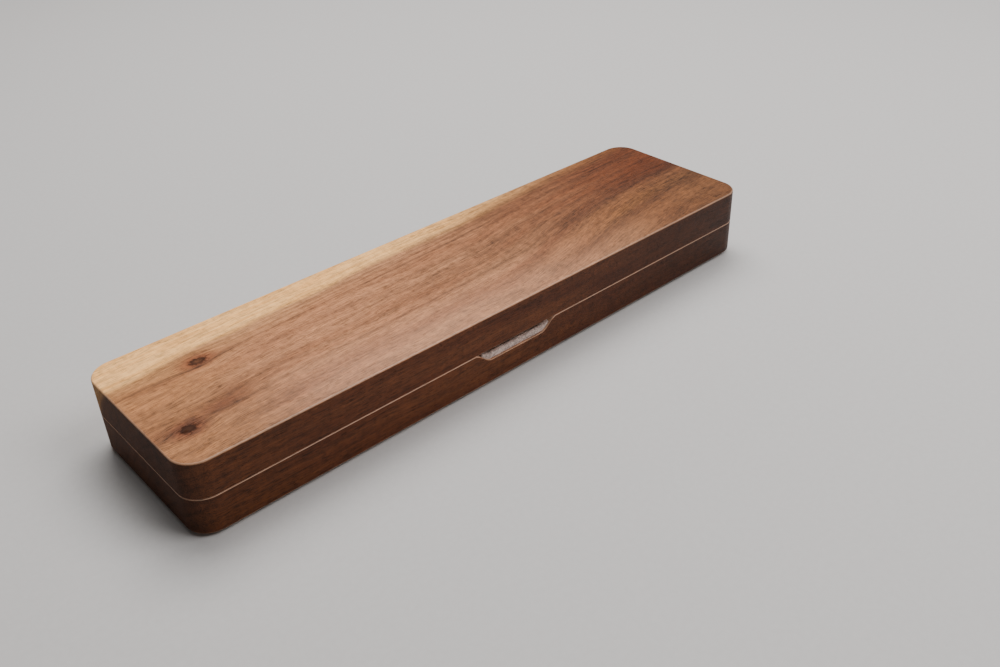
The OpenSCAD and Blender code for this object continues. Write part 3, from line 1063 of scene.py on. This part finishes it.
def add_knot(g, at, knot, top, wood, polish, height):
    """A pin knot with its halo, over the wood's colour, roughness and relief."""
    wobble = g.noise(at.here, detail=4, roughness=0.65, scale=0.75)
    reach = g.math("SQRT", offset(g, at.x, at.y, knot, knot[2], knot[3]))
    reach = g.plus(reach, g.swing(wobble, 1.3))
    wood = darkened(g, g.times(g.smooth(reach, 3.2, 0.9), g.times(top, 0.75)), wood, HALO_TINT)
    core = g.times(g.smooth(reach, 1.35, 0.6), top)
    middle = g.times(g.smooth(reach, 0.9, 0.1), knot[4])
    inside = g.mix(g.times(middle, g.smooth(wobble, 0.25, 0.7)), KNOT_DARK, KNOT_MIDDLE)
    wood = g.mix(core, wood, inside)
    polish = g.plus(polish, g.times(core, 0.35))
    ditch = g.times(g.smooth(reach, 1.05, 0.85), g.times(g.smooth(reach, 0.6, 0.8), -1.0))
    return wood, polish, g.plus(height, ditch)


def walnut(name, shift, knots=(), swirls=(), smears=(), bands=()):
    """Solid walnut: rings about the tree's heart, sapwood outside them, fibres and pores along X."""
    g = Graph(name)
    at = place_in_tree(g, shift, knots + swirls)
    fig = figure(g, at)
    x, y, z = at.x, at.y, at.z
    heart, line = heartwood(g, at, fig, bands)
    sappy, edge_line = sapwood(g, at, fig)
    wood = g.mix(sappy, heart, g.mix(g.smooth(fig.band, 0.35, 0.7), SAP, SAP_WARM))
    shade = wood_shade(g, at, fig, sappy, edge_line, line)
    pore_bed = g.plus(0.66, g.times(fig.ring_line, -0.03), g.times(fig.band, -0.04), g.times(sappy, 0.03))
    pores = g.smooth(g.minus(fig.pore, pore_bed), -0.02, 0.06)
    shade = g.times(shade, g.plus(1.0, g.times(pores, -0.46)))

    axial, _, upright = [g.math("ABSOLUTE", part) for part in g.split(at.normal)[:3]]
    end_grain = g.smooth(axial, 0.45, 1.0)
    shade = g.times(shade, g.plus(1.0, g.times(end_grain, -0.38)))
    wood = g.mix(1.0, wood, g.grey(shade), "MULTIPLY")
    painted_sheen = g.times(g.smooth(y, -6.0, -36.0), g.smooth(x, 130.0, -40.0),
                      g.smooth(upright, 0.5, 0.95), g.smooth(x, -140.0, -70.0))
    wood = g.mix(g.times(painted_sheen, 0.13), wood, HIGHLIGHT_PALE)  # painted sheen: the front of the top drawn paler, most at the left
    # painted shade: the upright sides drawn darker than the top, less so in the sapwood
    side_shade = g.times(g.smooth(upright, 0.5, 0.05), g.plus(1.0, g.times(sappy, -0.45)))
    wood = darkened(g, side_shade, wood, SIDE_SHADE_TINT)
    rounded = g.times(g.smooth(upright, 0.1, 0.4), g.smooth(upright, 0.995, 0.93))
    at_seam = g.smooth(g.math("ABSOLUTE", g.plus(z, -SEAM_Z)), 1.2, 0.7)
    edge_highlight = g.plus(g.smooth(upright, 0.3, 0.7, 0.08, 0.28), g.times(at_seam, 0.3))
    wood = g.mix(g.times(rounded, edge_highlight), wood, HIGHLIGHT_PALE)  # painted highlight: the eased edges and the seam's rim drawn pale

    polish = g.plus(0.47, g.swing(fig.fibre, 0.14), g.times(pores, 0.2),
                    g.times(end_grain, 0.25), g.times(rounded, -0.2))
    height = g.plus(g.times(pores, -1.0), g.times(fig.fibre, 0.25), g.times(fig.hair, 0.18))
    top = g.smooth(z, lid_low.z + 6.0, lid_high.z)
    for smear in smears:
        share = g.times(around(g, x, y, smear, smear[2], smear[3]), g.times(top, smear[4]))
        wood = darkened(g, share, wood, SMEAR_TINT)
    for knot in knots:
        wood, polish, height = add_knot(g, at, knot, top, wood, polish, height)
    g.surface(Base_Color=wood, Roughness=polish, IOR=1.45, Specular_IOR_Level=0.26)
    g.bump(height, 0.03)
    return g.material


# ---- felt, metal and rubber ----

def threads(g, here, gap, width, seed):
    """Thin wandering lines about gap mm apart, like fibres that lie on a surface."""
    moved = g.add("ShaderNodeVectorMath", {0: here, 1: (seed, -seed, seed)}, operation="ADD").outputs[0]
    level = g.noise(moved, detail=2, scale=1 / gap, distortion=0.6)
    off = g.math("ABSOLUTE", g.minus(level, 0.5))
    return g.smooth(off, width, 0.0)


def felt(name, dark, mid, light):
    """Pressed wool felt: a heathered grey of tangled fibres, matt, with a soft surface."""
    g = Graph(name)
    here, _ = g.place()
    cloud = g.noise(here, detail=3, scale=1 / 9)
    lint = g.noise(here, detail=4, roughness=0.7, scale=1 / 1.1)
    pale = g.math("MAXIMUM", threads(g, here, 1.5, 0.035, 3.0), threads(g, here, 1.0, 0.03, 11.0))
    deep = threads(g, here, 2.1, 0.028, 23.0)
    wool = g.mix(g.smooth(lint, 0.3, 0.7), dark, mid)
    wool = g.mix(g.times(pale, 0.75), wool, light)
    wool = g.mix(g.times(deep, 0.6), wool, dark)
    wool = g.mix(1.0, wool, g.grey(g.smooth(cloud, 0.3, 0.7, 0.93, 1.05)), "MULTIPLY")
    g.surface(Base_Color=wool, Roughness=0.95, Specular_IOR_Level=0.15,
              Sheen_Weight=0.25, Sheen_Roughness=0.5)
    g.bump(g.plus(lint, g.times(pale, 0.6), g.times(deep, -0.4)), 0.16)
    return g.material


def metal(name, bright, dull, roughness):
    """Polished metal with fine scratches and a little tarnish."""
    g = Graph(name)
    here, _ = g.place()
    cloud = g.noise(here, detail=3, scale=1 / 1.6)
    scratch = g.noise(g.add("ShaderNodeVectorMath", {0: here, 1: (1.0, 14.0, 14.0)},
                            operation="MULTIPLY").outputs[0], detail=3, scale=1 / 2.0)
    g.surface(Base_Color=g.mix(g.smooth(cloud, 0.35, 0.75), bright, dull), Metallic=1.0,
              Roughness=g.plus(roughness, g.swing(scratch, 0.25), g.swing(cloud, 0.12)))
    g.bump(scratch, 0.004)
    return g.material


def rubber(name):
    """Matt black rubber with a little dust."""
    g = Graph(name)
    here, _ = g.place()
    grain = g.noise(here, detail=3, scale=1 / 0.35)
    dust = g.noise(here, detail=3, scale=1 / 3.0)
    g.surface(Base_Color=g.mix(g.smooth(dust, 0.4, 0.8), colour(30, 30, 31), colour(52, 50, 49)),
              Roughness=g.smooth(grain, 0.0, 1.0, 0.55, 0.8), IOR=1.45)
    g.bump(grain, 0.03)
    return g.material


# ---- camera, floor and light ----

LENS = 36.94
AZIMUTH, DIP, ROLL = (math.radians(angle) for angle in (40.7911, 33.3821, -2.2690))
CAMERA_PLACE = Vector((-0.23856, -0.30552, 0.25241))  # in metres, its height over the wood's underside
WORLD_COLOUR = (1.0, 0.97, 0.94, 1)
WORLD_STRENGTH = 0.10
FLOOR_HALF = 3000.0
LAMPS = (  # name, place, aim, size, power and tint
    ("key", (0.34, 0.40, 1.10), (0.05, 0.0, 0.0), (1.0, 0.9), 20.0, (1.0, 0.96, 0.91)),
    ("front", (0.48, -0.62, 0.92), (0.0, 0.0, 0.0), (0.7, 0.7), 9.5, (1.0, 0.96, 0.92)),
)


def make_camera():
    """The photograph's camera, as fitted to its edges: from the front left, looking down.

    AZIMUTH turns from +Y towards +X, DIP is below level, and ROLL is about the line of sight.
    """
    data = bpy.data.cameras.new("camera")
    data.sensor_width = 36.0
    data.lens = LENS
    data.clip_start = 0.01
    camera = linked("camera", data)
    forward = Vector((math.sin(AZIMUTH) * math.cos(DIP), math.cos(AZIMUTH) * math.cos(DIP), -math.sin(DIP)))
    level = Vector((math.cos(AZIMUTH), -math.sin(AZIMUTH), 0.0))
    right = level * math.cos(ROLL) + level.cross(forward) * math.sin(ROLL)
    turn = Matrix((right, right.cross(forward), -forward)).transposed().to_4x4()
    turn.translation = CAMERA_PLACE + Vector((0.0, 0.0, base_low.z * MM))
    camera.matrix_world = turn
    bpy.context.scene.camera = camera


def area_light(name, place, aim, size, power, tint):
    data = bpy.data.lights.new(name, "AREA")
    data.shape = "RECTANGLE"
    data.size, data.size_y = size
    data.energy = power
    data.color = tint
    lamp = linked(name, data)
    lamp.location = place
    lamp.rotation_euler = (Vector(aim) - Vector(place)).to_track_quat("-Z", "Y").to_euler()


def make_stage():
    """A plain pale floor, a dim world and two soft lamps."""
    g = Graph("floor_paper")
    here, _ = g.place()
    grain = g.noise(here, detail=4, scale=0.4)
    g.surface(Base_Color=g.mix(grain, colour(190, 190, 192), colour(198, 198, 200)), Roughness=0.9)
    corners = [(x * FLOOR_HALF, y * FLOOR_HALF, 0) for x, y in ((-1, -1), (1, -1), (1, 1), (-1, 1))]
    floor = new_object("floor", corners, [(0, 1, 2, 3)], smooth=False)
    floor.data.materials.append(g.material)
    world = bpy.data.worlds.new("studio")
    world.use_nodes = True
    world.node_tree.nodes["Background"].inputs[0].default_value = WORLD_COLOUR
    world.node_tree.nodes["Background"].inputs[1].default_value = WORLD_STRENGTH
    bpy.context.scene.world = world
    for lamp in LAMPS:
        area_light(*lamp)


make_camera()
make_stage()
lid_wood = walnut("walnut_lid", (0.0, 0.0, 0.0), LID_KNOTS, LID_SWIRLS, LID_SMEARS, LID_BANDS)
base_wood = walnut("walnut_base", (61.0, 0.0, 0.0))
make_halves(lid_wood, base_wood)
make_felt(felt("felt_wool", colour(164, 144, 137), colour(238, 214, 204), colour(255, 236, 227)))
make_hardware(metal("brass_metal", colour(214, 172, 98), colour(184, 138, 72), 0.3),
              metal("nickel_metal", colour(206, 205, 202), colour(176, 174, 172), 0.22),
              rubber("foot_rubber"))
